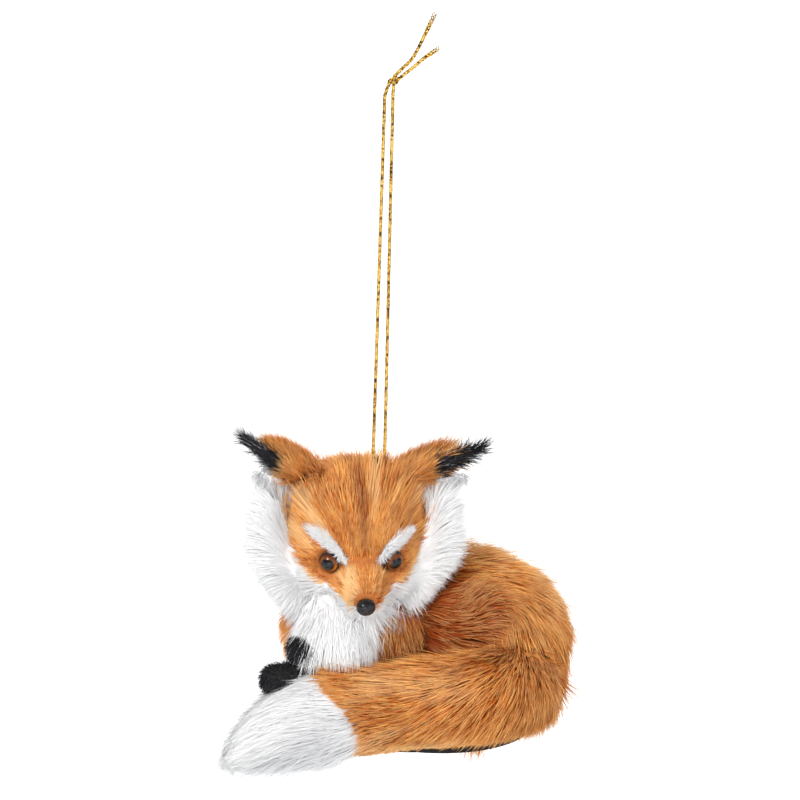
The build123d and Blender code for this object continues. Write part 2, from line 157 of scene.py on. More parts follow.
shape = bmesh.new()
bmesh.ops.create_grid(shape, x_segments=1, y_segments=1, size=6)
bmesh.ops.translate(shape, verts=shape.verts, vec=(0, 0, -floor_drop))
floor = put_in_scene("floor", mesh_from("floor", shape))
floor_paint = bpy.data.materials.new("pale_floor")
floor_paint.use_nodes = True
tree = floor_paint.node_tree
tree.nodes.clear()
matt = add_node(tree, "ShaderNodeBsdfDiffuse", {"Color": (0.85, 0.85, 0.85, 1)})
glow = add_node(tree, "ShaderNodeEmission", {
    "Color": (1, 1, 1, 1), "Strength": math_of(tree, "MULTIPLY", seen_directly(tree), 0.55),
})
both = add_node(tree, "ShaderNodeAddShader", {0: matt.outputs[0], 1: glow.outputs[0]})
underside = tree.nodes.new("ShaderNodeNewGeometry")
clear = tree.nodes.new("ShaderNodeBsdfTransparent")
one_way = add_node(tree, "ShaderNodeMixShader", {
    0: underside.outputs["Backfacing"], 1: both.outputs[0], 2: clear.outputs[0],
})
add_node(tree, "ShaderNodeOutputMaterial", {"Surface": one_way.outputs[0]})
floor.data.materials.append(floor_paint)

# Hanging cord. A gold metallic thread of three twisted strands, doubled into a loop that runs
# down through the wire eye and up again to the knot.
cord_diameter = 0.9 * mm
cord_lay = 2.3 * mm
dot_gap = cord_lay / 10
ply_radius = cord_diameter * 0.27
winding_radius = cord_diameter * 0.25
loop_route = [
    (-0.2, 0.0, 1.2), (-1.3, 0.0, -1.2), (-1.304, 0.0, -3.84), (-1.44, 0.0, -92.4),
    (-1.45, 0.0, -97.8), (1.45, 0.0, -97.8), (1.41, 0.0, -92.4), (0.738, 0.0, -3.6),
    (0.72, 0.0, -1.2), (0.85, 0.0, 1.2),
]


def unit(rows):
    """Rows scaled to a length of 1."""
    return rows / np.maximum(np.linalg.norm(rows, axis=1), 1e-12)[:, None]


def vertex_rows(mesh, kind):
    """The places or the normals of a mesh's vertices, as rows."""
    rows = np.zeros(len(mesh.vertices) * 3)
    mesh.vertices.foreach_get(kind, rows)
    return rows.reshape(-1, 3)


def smooth(mesh):
    """Shades a mesh as a rounded surface."""
    mesh.polygons.foreach_set("use_smooth", np.ones(len(mesh.polygons), bool))


def run_along(dots):
    """How far along their line dots are."""
    return np.concatenate([[0], np.cumsum(np.linalg.norm(np.diff(dots, axis=0), axis=1))])


def along_route(route):
    """Evenly spaced points on the smooth line of a cord's route."""
    line = bpy.data.curves.new("route", "CURVE")
    line.dimensions = "3D"
    spline = line.splines.new("NURBS")
    spline.points.add(len(route) - 1)
    for point, where in zip(spline.points, route):
        point.co = (where[0] * mm, where[1] * mm, where[2] * mm, 1)
    spline.order_u = 3
    spline.use_endpoint_u = True
    line.resolution_u = 40
    holder = bpy.data.objects.new("route", line)
    traced = bpy.data.meshes.new_from_object(holder)
    dots = vertex_rows(traced, "co")
    bpy.data.objects.remove(holder)
    bpy.data.curves.remove(line)
    bpy.data.meshes.remove(traced)
    run = run_along(dots)
    stops = np.linspace(0, run[-1], int(run[-1] / dot_gap) + 2)
    return np.stack([np.interp(stops, run, dots[:, i]) for i in range(3)], 1)


def plies_round(points, lay, swell=1.0):
    """The lines of three strands wound round a cord's points. Swell widens the winding."""
    heading = unit(np.gradient(points, axis=0))
    side = np.tile(np.array([0.0, 1.0, 0.0]), (len(points), 1))
    side = unit(side - (side * heading).sum(1)[:, None] * heading)
    other = np.cross(heading, side)
    reach = (winding_radius * swell * np.ones(len(points)))[:, None]
    lines = []
    for strand in range(3):
        turn = (2 * math.pi * strand / 3 + 2 * np.pi * run_along(points) / lay)[:, None]
        lines.append(points + reach * (np.cos(turn) * side + np.sin(turn) * other))
    return lines


def thread_piece(name, lines, taper=None):
    """A mesh of round gold threads, each along its own line of points."""
    winding = bpy.data.curves.new(name, "CURVE")
    winding.dimensions = "3D"
    winding.bevel_depth = ply_radius
    winding.bevel_resolution = 1
    winding.use_fill_caps = True
    for line in lines:
        spline = winding.splines.new("POLY")
        spline.points.add(len(line) - 1)
        spline.points.foreach_set("co", np.c_[line, np.ones(len(line))].ravel())
        if taper is not None:
            thin = np.interp(np.linspace(0, 1, len(line)), [0, 1 - taper, 1], [1, 1, 0.35])
            spline.points.foreach_set("radius", thin)
    holder = bpy.data.objects.new(name, winding)
    mesh = bpy.data.meshes.new_from_object(holder)
    bpy.data.objects.remove(holder)
    bpy.data.curves.remove(winding)
    smooth(mesh)
    mesh.materials.append(gold)
    return put_in_scene(name, mesh)


def new_finish(name):
    """A material, its node tree and its surface shader."""
    finish = bpy.data.materials.new(name)
    finish.use_nodes = True
    return finish, finish.node_tree, finish.node_tree.nodes["Principled BSDF"]


def noise(tree, scale, detail):
    """A value that wanders over a piece."""
    spot = tree.nodes.new("ShaderNodeTexCoord")
    grain = {"Vector": spot.outputs["Object"], "Scale": scale, "Detail": detail}
    return add_node(tree, "ShaderNodeTexNoise", grain).outputs["Fac"]


def ramp_of(tree, value, stops):
    """The colours of a ramp whose stops are pairs of a position and a colour."""
    ramp = add_node(tree, "ShaderNodeValToRGB", {"Fac": value})
    held = ramp.color_ramp.elements
    for end in (0, -1):
        held[end].position, held[end].color = stops[end][0], (*stops[end][1], 1)
    for position, color in stops[1:-1]:
        held.new(position).color = (*color, 1)
    return ramp.outputs["Color"]


def dented(tree, value, strength, depth):
    """The normals of a surface that a value dents."""
    dent = {"Height": value, "Strength": strength, "Distance": depth}
    return add_node(tree, "ShaderNodeBump", dent).outputs["Normal"]


gold, tree, surface = new_finish("gold_thread")
feed(tree, surface, {
    "Metallic": 0.75,
    "Roughness": 0.34,
    "Base Color": ramp_of(tree, noise(tree, 1500, 1.5), (
        (0.36, (0.05, 0.022, 0.004)), (0.45, (0.62, 0.33, 0.045)), (0.62, (0.95, 0.66, 0.16)),
    )),
    "Normal": dented(tree, noise(tree, 5200, 2), 0.5, 0.0001),
})

loop_line = along_route(loop_route)
cord_loop = thread_piece("cord_loop", plies_round(loop_line, cord_lay))
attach(cord_loop, "cord")
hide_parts("hanging_cord")

# Free ends of the cord. Each leaves the knot, runs up to the right and frays at its tip, where
# the strands open out.
upper_end_route = [
    (0.85, 0.0, 3.0), (2.8, 0.1, 5.2), (5.0, 0.0, 7.3), (6.7, -0.1, 10.6), (8.4, 0.0, 14.6),
    (10.6, 0.2, 19.8),
]
lower_end_route = [
    (1.75, 0.0, 2.2), (3.7, -0.1, 4.0), (5.9, 0.0, 5.8), (8.0, 0.1, 8.0), (9.9, 0.0, 9.3),
    (11.9, -0.1, 11.0),
]
for name, route, node in (
    ("cord_end_tall", upper_end_route, "cord_end_upper"),
    ("cord_end_short", lower_end_route, "cord_end_lower"),
):
    line = along_route(route)
    share = np.linspace(0, 1, len(line))
    swell = 1 + 1.5 * np.clip((share - 0.55) / 0.45, 0, 1) ** 1.5
    end = thread_piece(name, plies_round(line, cord_lay * 1.15, swell), taper=0.2)
    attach(end, "cord")
    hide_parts(node)

# Knot. Both strands of the cord pass round each other in an overhand knot. It is drawn tight
# under the free ends and keeps the loop closed.
knot_route = [
    (-0.25, 0.0, 0.9), (-0.55, -0.6, 1.7), (0.3, -0.95, 2.7), (1.5, -0.55, 2.9), (1.9, 0.4, 2.2),
    (1.2, 0.95, 1.3), (0.1, 0.7, 1.2), (-0.35, -0.1, 1.9), (0.1, -0.7, 2.3), (1.0, -0.75, 1.6),
    (1.75, 0.0, 1.5), (1.6, 0.6, 2.5), (0.8, 0.5, 3.2),
]
cord_tie = thread_piece("cord_tie", plies_round(along_route(knot_route), cord_lay))
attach(cord_tie, "cord")
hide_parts("cord_knot")

# Wire eye and what is inside. A darkened wire ring stands on the crown and its stem goes down
# into the head. The moulded forms, the neck peg and the tail's wire are sealed in the pelts.


def plain_finish(name, color, second, scale, roughness, metallic, dent, depth):
    """A finish whose colour wanders between two and whose surface is a little uneven."""
    finish, tree, surface = new_finish(name)
    grain = noise(tree, scale, 4)
    feed(tree, surface, {
        "Roughness": roughness,
        "Metallic": metallic,
        "Base Color": ramp_of(tree, grain, ((0.35, color), (0.65, second))),
        "Normal": dented(tree, grain, dent, depth),
    })
    return finish


def refinish(node, finish):
    """Gives a CAD node another material in its slots."""
    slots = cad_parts[node].material_slots
    if not slots:
        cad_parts[node].data.materials.append(finish)
    for held in slots:
        held.material = finish


dark_wire = plain_finish(
    "dark_wire", (0.045, 0.042, 0.04), (0.11, 0.10, 0.095), 900, 0.38, 0.9, 0.2, 0.00003
)
refinish("hanging_eye", dark_wire)
refinish("tail_wire", dark_wire)
refinish("neck_peg", plain_finish(
    "birch_peg", (0.62, 0.44, 0.26), (0.78, 0.60, 0.40), 400, 0.6, 0, 0.3, 0.0001
))
foam = plain_finish(
    "pressed_foam", (0.66, 0.63, 0.56), (0.78, 0.75, 0.68), 1500, 0.9, 0, 0.5, 0.0002
)
refinish("body_form", foam)
refinish("head_form", foam)

# Sole. A flat oval of black felt is glued under the body. It shows from the front as a dark
# edge on the right, below the tail.
felt = plain_finish(
    "black_felt", (0.006, 0.006, 0.007), (0.026, 0.025, 0.026), 2600, 0.95, 0, 0.9, 0.0003
)
refinish("sole", felt)

# Body. A pelt of long rust fur on a moulded form. Its leather is drawn in under the fur, and
# every hair is a fine blade that is combed along the flow seen on the real one.
dice = np.random.default_rng(11)
wild_share, wild_stretch, wild_rise = 0.03, 1.3, 12
hairs_per_tuft = 9
root_depth = 0.35
bend_share = 0.4
weld_gap = 0.001 * mm
rust_pile = {"clump": 2.2, "pull": 0.55}
white_pile = {"width": 0.23, "rings": 2, "round_share": 0.1, "pull": 0.25}


def leather(name, nodes, voxel, smoothing, draw_in, finish=None):
    """The skin of a pelt, from CAD solids grown together, smoothed and drawn in under the fur."""
    shape = bmesh.new()
    for node in nodes:
        shape.from_mesh(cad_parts[node].data)
    bmesh.ops.remove_doubles(shape, verts=shape.verts, dist=weld_gap)
    piece = put_in_scene(name, mesh_from(name, shape))
    grown = piece.modifiers.new("grown", "REMESH")
    grown.mode = "VOXEL"
    grown.voxel_size = voxel
    graph = bpy.context.evaluated_depsgraph_get()
    piece.data = bpy.data.meshes.new_from_object(piece.evaluated_get(graph), depsgraph=graph)
    piece.modifiers.clear()
    piece.data.name = name
    piece.data.materials.clear()
    shape = bmesh.new()
    shape.from_mesh(piece.data)
    for _ in range(smoothing):
        bmesh.ops.smooth_vert(
            shape, verts=shape.verts, factor=0.5, use_axis_x=True, use_axis_y=True, use_axis_z=True
        )
    shape.to_mesh(piece.data)
    shape.free()
    spots, facing = vertex_rows(piece.data, "co"), vertex_rows(piece.data, "normal")
    amount = draw_in(spots / mm)[:, None] if callable(draw_in) else draw_in
    piece.data.vertices.foreach_set("co", (spots - facing * amount * mm).ravel())
    smooth(piece.data)
    piece.data.update()
    if finish:
        piece.data.materials.append(finish)
    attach(piece, "fox")
    return piece


def mark(mesh, label, values):
    """Gives each of a mesh's vertices a value under a label."""
    layer = mesh.attributes.new(label, "FLOAT", "POINT")
    layer.data.foreach_set("value", values.astype(np.float32))


def step_up(values, low, high):
    """A smooth rise from 0 at low to 1 at high."""
    share = np.clip((values - low) / (high - low), 0, 1)
    return share * share * (3 - 2 * share)


def ripple(places, reach, seed):
    """A smooth value from -1 to 1 that wanders over places, in mm, with a given reach."""
    own = np.random.default_rng(seed)
    total = np.zeros(len(places))
    for _ in range(5):
        wave = own.normal(size=3) * 2.2 / reach
        total += np.sin(places @ wave + own.uniform(0, 6.28))
    return total / 3


def coat(
    name, skin, count, length, comb, finish, *, lift, width, pull, stray, grows=None, clump=1.7,
    sag=0.06, rings=3, cover=(), cover_reach=4.0, wave=10, fluff=None, shift=None,
    round_share=0.5, spare=4,
):
    """The fur on a skin: tapered blades of hair, their roots strewn evenly over its faces.

    Lengths and widths are in mm. Lift, stray, wave and fluff are angles in degrees.
    """
    mesh = skin.data
    mesh.calc_loop_triangles()
    corners = np.zeros(len(mesh.loop_triangles) * 3, np.int32)
    mesh.loop_triangles.foreach_get("vertices", corners)
    corners = corners.reshape(-1, 3)
    spots, facing = vertex_rows(mesh, "co"), vertex_rows(mesh, "normal")
    a, b, c = (spots[corners[:, i]] for i in range(3))
    area = np.linalg.norm(np.cross(b - a, c - a), axis=1) / 2
    tries = count * spare
    picked = dice.choice(len(area), size=tries, p=area / area.sum())
    u, v = dice.random((2, tries))
    flip = u + v > 1
    u, v = np.where(flip, 1 - u, u)[:, None], np.where(flip, 1 - v, v)[:, None]
    root = a[picked] * (1 - u - v) + b[picked] * u + c[picked] * v
    out = unit(
        facing[corners[picked, 0]] * (1 - u - v) + facing[corners[picked, 1]] * u
        + facing[corners[picked, 2]] * v
    )
    chance = np.ones(tries) if grows is None else grows(root / mm, out)
    kept = np.flatnonzero(dice.random(tries) < chance)
    root, out = root[kept][:count * 2], out[kept][:count * 2]
    free = np.ones(len(root), bool)
    for other in cover:
        for i in np.flatnonzero(free):
            above_root = Vector(root[i] + out[i] * 0.3 * mm)
            free[i] = other.ray_cast(above_root, Vector(out[i]), cover_reach * mm)[0] is None
    root, out = root[free][:count], out[free][:count]
    made = len(root)
    flow = comb(root / mm, out)
    flow = unit(flow - (flow * out).sum(1)[:, None] * out)
    side = np.cross(out, flow)
    sway = np.radians(dice.normal(0, stray, made) + wave * ripple(root / mm, 7, 5))[:, None]
    flow = flow * np.cos(sway) + side * np.sin(sway)
    wild = dice.random(made) < wild_share
    reach = (length(root / mm, out) if callable(length) else np.full(made, length)) * mm
    reach = (reach * dice.uniform(0.72, 1.12, made) * np.where(wild, wild_stretch, 1))[:, None]
    tilt = dice.normal(0, 5, made) + 5 * ripple(root / mm, 5, 9) + np.where(wild, wild_rise, 0)
    if fluff is not None:
        tilt += fluff(root / mm, out)
    tilt = np.radians(tilt)[:, None]
    first, last = math.radians(lift[0]) + tilt, math.radians(lift[1]) + tilt
    base = root - out * root_depth * mm
    bend = base + reach * bend_share * (flow * np.cos(first) + out * np.sin(first))
    tip = bend + reach * (1 - bend_share) * (flow * np.cos(last) + out * np.sin(last))
    tip[:, 2] -= sag * reach[:, 0]
    heads = dice.choice(made, size=max(made // hairs_per_tuft, 1), replace=False)
    tree = KDTree(len(heads))
    for i, head in enumerate(heads):
        tree.insert(Vector(root[head]), i)
    tree.balance()
    nearest = np.array([tree.find(Vector(spot))[1] for spot in root])
    gather = tip[heads[nearest]] - tip
    room = np.linalg.norm(gather, axis=1)[:, None]
    gather *= np.minimum(1, clump * mm / np.maximum(room, 1e-9))
    gather *= (pull * dice.uniform(0.3, 1.2, made))[:, None]
    stops = np.array([0.0, 0.38, 0.74, 1.0] if rings == 3 else [0.0, 0.55, 1.0])
    line = np.stack([
        base * (1 - s) ** 2 + bend * 2 * s * (1 - s) + tip * s * s + gather * s ** 1.5
        for s in stops
    ], 1)
    heading = unit(np.gradient(line, axis=1).reshape(-1, 3)).reshape(made, -1, 3)
    normal = np.repeat(out[:, None], len(stops), 1)
    cross = np.cross(heading, normal)
    cross /= np.maximum(np.linalg.norm(cross, axis=2), 1e-9)[:, :, None]
    crown = np.cross(cross, heading)
    thick = (width * mm * dice.uniform(0.65, 1.25, made))[:, None, None]
    taper = np.array([1.0, 0.92, 0.55, 0.0] if rings == 3 else [1.0, 0.7, 0.0])[None, :, None]
    edge = [
        crown * 0.42 * thick * taper,
        (-cross * 0.5 - crown * 0.12) * thick * taper,
        (cross * 0.5 - crown * 0.12) * thick * taper,
    ]
    points = np.concatenate([
        np.stack([line[:, :-1] + e[:, :-1] for e in edge], 2).reshape(made, -1, 3), line[:, -1:]
    ], 1)
    around = np.stack([unit(e[:, :-1].reshape(-1, 3)).reshape(made, -1, 3) for e in edge], 2)
    around = np.concatenate([around.reshape(made, -1, 3), np.zeros((made, 1, 3))], 1)
    crowns = np.concatenate([np.repeat(crown[:, :-1], 3, 1), crown[:, -1:]], 1)
    faces, chart = [], []
    for ring in range(rings):
        low, high = 0.15 + 0.85 * stops[ring], 0.15 + 0.85 * stops[ring + 1]
        for k in range(3):
            here, there, left, wide = 3 * ring + k, 3 * ring + (k + 1) % 3, k / 3, (k + 1) / 3
            if ring < rings - 1:
                faces.append([here, here + 3, there + 3, there])
                chart += [(left, low), (left, high), (wide, high), (wide, low)]
            else:
                faces.append([here, 3 * rings, there])
                chart += [(left, low), ((left + wide) / 2, high), (wide, low)]
    faces.append([0, 1, 2])
    chart += [(0, 0), (0.5, 0.12), (1, 0)]
    turned_under = np.repeat([i % 3 == 1 for i in range(len(faces))], [len(face) for face in faces])
    corner = np.concatenate(faces)
    sizes = np.array([len(face) for face in faces])
    starts = np.concatenate([[0], np.cumsum(sizes)[:-1]])
    per = 3 * rings + 1
    hair = bpy.data.meshes.new(name)
    hair.vertices.add(made * per)
    hair.vertices.foreach_set("co", points.astype(np.float32).ravel())
    hair.loops.add(made * len(corner))
    hair.loops.foreach_set(
        "vertex_index", (np.arange(made)[:, None] * per + corner[None]).astype(np.int32).ravel()
    )
    hair.polygons.add(made * len(sizes))
    hair.polygons.foreach_set(
        "loop_start",
        (np.arange(made)[:, None] * len(corner) + starts[None]).astype(np.int32).ravel(),
    )
    smooth(hair)
    hair.update(calc_edges=True)
    grid = math.ceil(math.sqrt(made))
    cell = np.stack([np.arange(made) % grid, np.arange(made) // grid], 1)
    spread = (cell[:, None] + 0.08 + 0.84 * np.array(chart)[None]) / grid
    hair.uv_layers.new(name="OFBake").data.foreach_set("uv", spread.astype(np.float32).ravel())
    shifted = np.zeros(made) if shift is None else shift(root / mm, out)
    mark(hair, "tone", np.repeat(dice.random(made), per))
    mark(hair, "along", np.tile(np.append(np.repeat(stops[:-1], 3), 1.0), made))
    shifted = shifted + dice.normal(0, 0.12, made) * (shifted != 0)
    mark(hair, "shift", np.repeat(shifted, per))
    up_or_down = np.where(turned_under, -1.0, 1.0)[None, :, None]
    shade = up_or_down * crowns[:, corner] + round_share * around[:, corner]
    hair.normals_split_custom_set(unit(shade.reshape(-1, 3)))
    hair.materials.append(finish)
    piece = put_in_scene(name, hair)
    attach(piece, "fox")
    return piece


def attribute(tree, label):
    """The value that a mesh's vertices have under a label."""
    reader = tree.nodes.new("ShaderNodeAttribute")
    reader.attribute_name = label
    return reader.outputs["Fac"]


def blend_in(tree, share, low, high):
    """A Mix node between two colours or sockets."""
    mix = tree.nodes.new("ShaderNodeMix")
    mix.data_type = "RGBA"
    feed(tree, mix, {0: share, 6: low, 7: high})
    return mix.outputs[2]


def rise_between(tree, value, low, high, top=1.0):
    """A Map Range node that rises smoothly from low to high."""
    span = tree.nodes.new("ShaderNodeMapRange")
    span.interpolation_type = "SMOOTHSTEP"
    feed(tree, span, {"Value": value, "From Min": low, "From Max": high, "To Max": top})
    return span.outputs["Result"]


# The colour of a hair runs from a deep root to a pale tip, differs from hair to hair, drifts in
# patches as the pile parts and closes, and is shifted to pale or to dusk in parts of a pelt.
# In some parts of a pelt the shift to pale is a painted highlight and the shift to dusk a painted
# shade.
hair_tone = bpy.data.node_groups.new("hair_tone", "ShaderNodeTree")
hair_colors = ("Root", "Deep", "Middle", "Light", "Tip", "Pale", "Dusk")
for label in hair_colors:
    hair_tone.interface.new_socket(label, in_out="INPUT", socket_type="NodeSocketColor")
hair_tone.interface.new_socket("Color", in_out="OUTPUT", socket_type="NodeSocketColor")
given = hair_tone.nodes.new("NodeGroupInput")
result = hair_tone.nodes.new("NodeGroupOutput")
drift = math_of(
    hair_tone, "MULTIPLY_ADD", noise(hair_tone, 170, 3), 1.5, attribute(hair_tone, "tone")
)
region, along = attribute(hair_tone, "shift"), attribute(hair_tone, "along")
shade = given.outputs["Deep"]
for value, low, high, top, label in (
    (drift, 0.8, 1.2, 1.0, "Middle"), (drift, 1.25, 1.65, 1.0, "Light"),
    (region, 0.0, 1.0, 0.8, "Pale"), (region, 0.0, -1.0, 0.85, "Dusk"),
):
    share = rise_between(hair_tone, value, low, high, top)
    shade = blend_in(hair_tone, share, shade, given.outputs[label])
past_root_end = rise_between(hair_tone, along, 0.0, 0.5)
shade = blend_in(hair_tone, past_root_end, given.outputs["Root"], shade)
near_tip = rise_between(hair_tone, along, 0.55, 1.0, 0.6)
shade = blend_in(hair_tone, near_tip, shade, given.outputs["Tip"])
hair_tone.links.new(shade, result.inputs["Color"])


def fur_finish(name, *colors, roughness=0.5):
    """A hair material with its seven colours."""
    finish, tree, surface = new_finish(name)
    colours = tree.nodes.new("ShaderNodeGroup")
    colours.node_tree = hair_tone
    feed(tree, colours, {label: (*value, 1) for label, value in zip(hair_colors, colors)})
    feed(tree, surface, {
        "Roughness": roughness, "Specular IOR Level": 0.2, "Base Color": colours.outputs["Color"],
    })
    return finish


rust_fur = fur_finish(
    "rust_fur", (0.22, 0.040, 0.004), (0.42, 0.080, 0.007), (0.74, 0.215, 0.022),
    (0.95, 0.47, 0.12), (0.97, 0.56, 0.20), (0.98, 0.68, 0.33), (0.32, 0.046, 0.004),
)
white_fur = fur_finish(
    "white_fur", (0.90, 0.90, 0.91), (0.94, 0.94, 0.95), (0.97, 0.97, 0.975),
    (0.98, 0.98, 0.98), (0.99, 0.99, 0.99), (0.90, 0.72, 0.66), (0.60, 0.60, 0.62),
)
black_fur = fur_finish(
    "black_fur", (0.005, 0.005, 0.006), (0.007, 0.007, 0.009), (0.012, 0.012, 0.015),
    (0.03, 0.031, 0.036), (0.05, 0.05, 0.06), (0.80, 0.80, 0.82), (0.004, 0.004, 0.005),
    roughness=0.38,
)
rust_leather, white_leather, black_leather = (
    plain_finish(f"{name}_undercoat", color, second, 900, 0.9, 0, 0.8, 0.0006)
    for name, color, second in (
        ("rust", (0.20, 0.045, 0.009), (0.36, 0.10, 0.02)),
        ("white", (0.80, 0.80, 0.81), (0.88, 0.88, 0.89)),
        ("black", (0.006, 0.006, 0.007), (0.014, 0.014, 0.016)),
    )
)


def hull(piece):
    """A fast test shape of a skin, for hair that would grow under another pelt."""
    return BVHTree.FromPolygons(
        [tuple(spot) for spot in vertex_rows(piece.data, "co")],
        [tuple(face.vertices) for face in piece.data.polygons],
    )


body_skin = leather("body_skin", ["body_pelt", "body_form"], 0.8 * mm, 4, 1.3, rust_leather)
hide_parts("body_pelt")
ruff_skin = leather("ruff_skin", ["neck_ruff"], 0.8 * mm, 4, 1.0, rust_leather)
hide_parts("neck_ruff")
tail_skin = leather("tail_skin", ["tail_pelt", "tail_brush"], 0.8 * mm, 4, 1.3)
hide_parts("tail_pelt", "tail_brush")
yaw, nod = math.radians(9), math.radians(18)
head_middle = np.array([-6.3, 2.6, -116.8])
head_axes = np.array([
    [math.cos(yaw), math.sin(yaw), 0],
    [math.sin(yaw) * math.sin(nod), -math.cos(yaw) * math.sin(nod), math.cos(nod)],
    [math.sin(yaw) * math.cos(nod), -math.cos(yaw) * math.cos(nod), -math.sin(nod)],
])
eye_aside, eye_height = 7.6, 3.0
eye_spots = np.array([[-eye_aside, eye_height, 17.4], [eye_aside, eye_height, 17.4]])


def on_head(p):
    """Places in the head's own frame: to the side, up the face and ahead."""
    return (p - head_middle) @ head_axes.T


def eye_distance(q):
    """How far places on the head are from the nearer eye, and the way from it."""
    away = q[:, None] - eye_spots[None]
    far = np.linalg.norm(away, axis=2)
    nearer = far.argmin(1)
    rows = np.arange(len(q))
    return far[rows, nearer], unit(away[rows, nearer])


def head_draw_in(p):
    """Deeper at the back, and dished round the eyes so that they stand free."""
    dish = 1.5 * np.exp(-(eye_distance(on_head(p))[0] / 3.4) ** 2)
    return -0.25 + 1.1 * step_up(p[:, 1], -13, -5) + dish


head_skin = leather(
    "head_skin",
    ["head_pelt", "head_form", "muzzle_pelt", "cheek_left", "cheek_right", "chin"],
    0.6 * mm, 12, head_draw_in,
)
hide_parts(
    "head_pelt", "head_form", "muzzle_pelt", "cheek_left", "cheek_right", "chin"
)
bib_skin = leather("bib_skin", ["bib"], 0.8 * mm, 4, 1.2, white_leather)
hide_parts("bib")
head_hull, bib_hull, tail_hull = hull(head_skin), hull(bib_skin), hull(tail_skin)
body_hull, ruff_hull = hull(body_skin), hull(ruff_skin)


def bump_at(p, x, z, reach):
    """1 near a place seen from the front, falling to 0 over a reach in mm."""
    return np.exp(-((p[:, 0] - x) ** 2 + (p[:, 2] - z) ** 2) / (2 * reach ** 2))


def comb_body(p, out):
    """From the neck to the rump and down, then round under the hip to the left."""
    x, y, z = p.T
    below = step_up(-z, 128, 162)
    back = np.stack([np.ones(len(p)), 0.1 * np.ones(len(p)), -0.15 - 0.75 * below], 1)
    back[:, 2] -= 0.9 * step_up(x, 22, 46)
    gone = (x - 18) / 24 - (z + 130) / 34
    angle = -10 - 78 * step_up(gone, 0.05, 1.0) - 48 * step_up(gone, 1.1, 2.0)
    angle += 85 * bump_at(p, 22, -137.5, 4.5) - 40 * bump_at(p, 31, -141, 4.5)
    angle = np.radians(angle)
    front = np.stack([np.cos(angle), np.zeros(len(p)), np.sin(angle)], 1)
    share = (1 - step_up(y, 6, 18))[:, None]
    flank = np.outer(2.0 * step_up(-out[:, 0], 0.35, 0.8), [0, 0.6, -0.8])
    return unit(back) * (1 - share) + front * share + flank


def body_length_of(p, out):
    """Longer along the back and over the root of the tail, shorter at the right edge."""
    x, y, z = p.T
    draped = step_up(x, 12, 24) * step_up(-z, 134, 146) * (1 - step_up(y, 4, 12))
    right_edge = step_up(x, 34, 44)
    by_height = 2.2 * step_up(z, -145, -128)
    return 8.3 - 1.3 * right_edge + by_height + 5.0 * draped * (1 - right_edge)


def body_fluff(p, out):
    """The hair stands out over the crease above the tail, and lies down at the right edge."""
    x, y, z = p.T
    raised = 14 * step_up(x, 12, 24) * step_up(-z, 134, 144) * (1 - step_up(y, 4, 12))
    return raised * (1 - step_up(x, 34, 44)) - 6 * step_up(x, 38, 46)


def body_painted_light_shift(p, out):
    """Painted shade in the hollow under the head and at the hip's whorl, and a painted highlight
    along the back.
    """
    front = 1 - step_up(p[:, 1], 4, 12)
    # Painted shade: darker in the hollow under the head and in the whorl's crease.
    dusk = 1.4 * bump_at(p, 11, -140, 7) + 1.2 * bump_at(p, 24, -139.5, 4)
    dusk += 0.5 * bump_at(p, 19, -132, 6)
    # Painted highlight: paler along the top of the back.
    pale = 0.34 * step_up(p[:, 2], -134, -126) + 0.26 * bump_at(p, 40, -140, 7)
    return pale + 0.36 * ripple(p, 5, 27) - 1.1 * dusk * front


body_stretches = ((-30, 14, 5500), (14, 32, 9500), (32, 60, 9500))
for place, (lowest, highest, count) in enumerate(body_stretches, 1):
    piece = coat(
        f"body_coat_{place}", body_skin, count, body_length_of, comb_body, rust_fur,
        lift=(34, 10), width=0.28, stray=9, sag=0.10, **rust_pile,
        grows=lambda p, out: (p[:, 0] > lowest) & (p[:, 0] <= highest) & (out[:, 2] > -0.85),
        cover=(head_hull, bib_hull, tail_hull, ruff_hull), shift=body_painted_light_shift, fluff=body_fluff,
    )

# Tail. A long tube of rust fur that leaves the rump on the right and comes round in front to
# the left, where a white brush is sewn on. The hair lies along it and fans out a little.
tail_line = [Vector((35, 10.6, 0)), Vector((35, 0.1, 0))]
middle, angle = Vector((20, 0.1, 0)), 0.0
for step in range(1, 17):
    angle = -math.radians(82) * step / 16
    tail_line.append(middle + Vector((math.cos(angle), math.sin(angle), 0)) * 15)
ahead = math.radians(-172)
centre = tail_line[-1] + Vector((-math.sin(ahead), math.cos(ahead), 0)) * 157
for step in range(1, 25):
    angle = ahead - math.pi / 2 + math.radians(22) * step / 24
    tail_line.append(centre + Vector((math.cos(angle), math.sin(angle), 0)) * 157)
tail_dots = np.array(tail_line)
tail_heading = unit(np.gradient(tail_dots, axis=0))
tail_run = run_along(tail_dots)
brush_seam = tail_run[30]
tail_tip = tail_run[-1]


def down_tail(p):
    """How far along the tail's line places are, in mm, and the way that it runs there."""
    flat = p * [1, 1, 0]
    nearest = ((flat[:, None] - tail_dots[None]) ** 2).sum(2).argmin(1)
    past = ((flat - tail_dots[nearest]) * tail_heading[nearest]).sum(1)
    return tail_run[nearest] + past, tail_heading[nearest].copy()


def comb_tail(p, out):
    """Along the tail towards its tip, falling round the curl and under the brush."""
    run, flow = down_tail(p)
    fan = np.clip((p[:, 2] + 153) / 12, -1, 1)
    on_brush = step_up(run, brush_seam - 5, brush_seam + 10)
    flow[:, 2] = 0.34 * fan * step_up(run, 26, 50) * (1 - on_brush)
    flow[:, 2] -= 1.0 * (1 - step_up(run, 16, 52)) * step_up(p[:, 2], -169, -160)
    flow[:, 2] -= 0.45 * step_up(run, brush_seam + 2, tail_tip)
    return flow


def clear_below(p):
    """How long a hair near the underside may be, so that the sole's edge shows under the tail."""
    return np.clip(0.9 + 0.8 * (p[:, 2] + 167.5), 0.9, 20)


